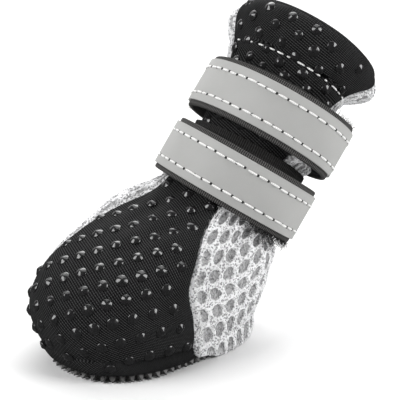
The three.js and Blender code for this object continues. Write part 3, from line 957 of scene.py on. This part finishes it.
def buildSoleTeeth():
    row = feather.copy()
    row[2] = teeth["up"]
    angle = np.linspace(0, 2 * math.pi, teeth["fine"])
    walk = walked(ringPoints(row, angle, teeth["reach"]))
    count = int(walk[-1] / teeth["pitch"])
    at = np.interp(np.arange(count) * walk[-1] / count, walk, angle)
    before, centre, after = (ringPoints(row, at + nudge, teeth["reach"]) for nudge in (-0.01, 0.0, 0.01))
    ahead = unit(after - before)
    upward = np.broadcast_to([0.0, 0, 1], ahead.shape)
    outward = np.cross(ahead, upward)
    lean = math.radians(teeth["lean"])
    point = outward * math.cos(lean) - upward * math.sin(lean)
    side = outward * math.sin(lean) + upward * math.cos(lean)
    front = 1 - ramp(np.abs(fromToe(at)), *teeth["front"])
    tall = teeth["tall"] + (teeth["frontTall"] - teeth["tall"]) * front
    half = teeth["size"][:, None] * teeth["base"] / 2
    x, y = half * np.array([-1, 1, 1, -1]), half * np.array([-1, -1, 1, 1])
    z = np.broadcast_to((teeth["out"] * tall[:, None])[..., None], (count, *x.shape))
    points = setDown(centre, (ahead, side, point), x, y, z)
    points[..., 2] = np.maximum(points[..., 2], teeth["lowest"])
    points[..., 2] += toeLift(points[..., 0], points[..., 2])
    # the teeth take the lighter rubber, painted light on their facets
    addPiece("soleTeeth", points, manyTubes(*z.shape), "treadWithPaintedLight", flat=True)
    print("sole teeth:", count)


# loose fibres: thin bent hairs, each from a root along a direction, drooping towards its tip
hair = {
    "steps": 5, "sides": 4, "bend": 0.45, "taper": 0.6, "thick": 0.055,
    "root": -2.0, "rootSpan": 1.2, "out": 0.1, "stray": 0.4, "shortest": 0.4, "spread": 0.9,
}
fuzz = {
    # strap edge from to count long way
    "underStrap": ("lower", -7.3, 62, 128, 360, 2.3, -1),
    "strapTop": ("upper", 7.2, 60, 122, 140, 1.4, 1),
    "gapLeft": ("upper", -7.0, -75, -25, 40, 1.1, -1),
}


def hairs(root, way, long, thick):
    f = np.linspace(0, 1, hair["steps"])
    bend = scatter(root.shape) * hair["bend"]
    line = (root[:, None] + way[:, None] * (long[:, None] * f)[..., None]
            + bend[:, None] * (long[:, None] * f**2)[..., None])
    side = unit(np.cross(way, scatter(root.shape)))
    return tubesAlong(line, side, np.cross(way, side), thick * (1 - hair["taper"] * f), hair["sides"])


def buildFuzz(name, loop, edge, start, stop, count, longest, lean):
    strap = straps[loop]
    angle = np.radians(start + (stop - start) * rng.random(count))
    root = strapPoint(strap, angle, edge, hair["root"] + hair["rootSpan"] * rng.random(count))
    out = unit(strapPoint(strap, angle, 0, 1.0) - strapPoint(strap, angle, 0, 0.0))
    way = sectionAxis(strap) * lean + out * hair["out"] + hair["stray"] * scatter(root.shape)
    long = longest * (hair["shortest"] + hair["spread"] * rng.random(count))
    points, faces = hairs(root, unit(way), long, hair["thick"])
    addPiece(f"fuzz_{name}", points, faces, "fastener")


# white yarn ends stand off the cut edge of the mesh beside the panel and at the collar's corners
yarnEnds = {
    "spans": [(0.6, 5.4, 260), (9.2, 10.9, 160)], "leftShare": 0.6, "beside": 1.0, "root": 0.05,
    "out": 0.6, "stray": 0.8, "shortest": 0.5, "spread": 0.9, "thick": 0.05,
}


def buildYarnEnds():
    level = np.concatenate([rng.uniform(*span) for span in yarnEnds["spans"]])
    count, beside = len(level), yarnEnds["beside"]
    right, left = panelEdgesAt(level)
    onLeft = rng.random(count) < yarnEnds["leftShare"]
    angle = np.radians(np.where(onLeft, left + beside + rng.random(count), right - beside - rng.random(count)))
    root = clothPoint(level, angle, yarnEnds["root"])
    way = lastNormal(level, angle) * yarnEnds["out"] + yarnEnds["stray"] * scatter(root.shape)
    long = yarnEnds["shortest"] + yarnEnds["spread"] * rng.random(count)
    points, faces = hairs(root, unit(way), long, yarnEnds["thick"])
    addPiece("yarnEnds", points, faces, "thread", uv=np.zeros((len(faces), 4, 2)))


buildMeshUpper()
buildGripPanel()
buildGripDots()
for name, strap in straps.items():
    buildStrap(name, strap)
    buildTape(name, strap)
    buildTapeStitches(name, strap)
    buildFastener(name, bands[name])
buildHemStitches()
buildSoleTeeth()
for name, part in fuzz.items():
    buildFuzz(name, *part)
buildYarnEnds()
for node, key in (("outsole", "sole"), ("insole", "insole")):
    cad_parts[node].data.materials.clear()
    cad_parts[node].data.materials.append(finishes[key])
print("pieces made")

# camera: the photograph's angle to the boot, worked out from its outline
view = {"turn": 43, "high": 15, "roll": 3, "away": 280, "scale": 3.85, "side": 400,
        "target": (-8, 0, 38), "at": (193.7, 195.3), "sensor": 36}


# a matrix that stands at a place, with its right, up and back directions
def standing(right, up, back, place):
    return Matrix([[*row, p] for row, p in zip(np.stack([right, up, back], 1), place)] + [[0, 0, 0, 1]])


def buildCamera():
    turn, high, roll = np.radians([view["turn"], view["high"], view["roll"]])
    back = np.array([math.cos(high) * math.cos(turn), math.cos(high) * math.sin(turn), math.sin(high)])
    right = np.array([-math.sin(turn), math.cos(turn), 0])
    up = np.cross(back, right)
    right, up = math.cos(roll) * right + math.sin(roll) * up, math.cos(roll) * up - math.sin(roll) * right
    camera = bpy.data.cameras.new("photoView")
    camera.sensor_width = view["sensor"]
    side = view["side"]
    camera.lens = view["sensor"] * view["away"] * view["scale"] / side
    camera.shift_x = (side / 2 - view["at"][0]) / side
    camera.shift_y = (view["at"][1] - side / 2) / side
    camera.clip_start, camera.clip_end = 0.01, 20
    place = (np.array(view["target"]) + origin + back * view["away"]) * mm
    scene.camera = placed("photoView", camera)
    scene.camera.matrix_world = standing(right, up, back, place)


# studio light: a soft box on either side of the viewer, a weak panel overhead, the bright sweep behind the boot
lights = [
    # name place aim size power
    ("leftBox", (0.445, -0.15, 0.35), (0, 0, 0.04), 0.34, 2.7),
    ("rightBox", (-0.245, 0.435, 0.31), (0, 0, 0.04), 0.34, 2.7),
    ("overhead", (-0.25, -0.25, 0.8), (0, 0, 0.0), 0.9, 5.0),
    ("sweep", (-0.23, -0.8, 0.42), (0, 0, 0.04), 0.7, 0.9),
    ("backdrop", (-1.0, -0.75, 0.9), (-1.0, -0.75, 0.0), 1.3, 16.0),
]
studio = {"fill": 0.1, "paper": (0.86, 0.86, 0.86, 1), "matt": 0.9, "floor": 3.0,
          "sideways": (0.13, 0.99, 0.05)}


def buildStudio():
    for name, place, aim, size, power in lights:
        light = bpy.data.lights.new(name, "AREA")
        light.size, light.energy = size, power
        away = unit(np.array(place) - np.array(aim))
        side = unit(np.cross(studio["sideways"], away))
        placed(name, light).matrix_world = standing(side, np.cross(away, side), away, place)
    world = bpy.data.worlds.new("studio")
    world.use_nodes = True
    fill = world.node_tree.nodes["Background"].inputs
    fill["Color"].default_value, fill["Strength"].default_value = (1, 1, 1, 1), studio["fill"]
    scene.world = world
    scene.view_settings.view_transform = "Standard"
    paper = Finish("paleFloor", Roughness=studio["matt"], Base_Color=studio["paper"])
    floor = bpy.data.meshes.new("floor")
    s = studio["floor"]
    floor.from_pydata([(-s, -s, 0), (s, -s, 0), (s, s, 0), (-s, s, 0)], [], [(0, 1, 2, 3)])
    floor.materials.append(paper.material)
    holder = placed("floor", floor)
    holder.visible_glossy = False


buildCamera()
buildStudio()
print("camera and light set")
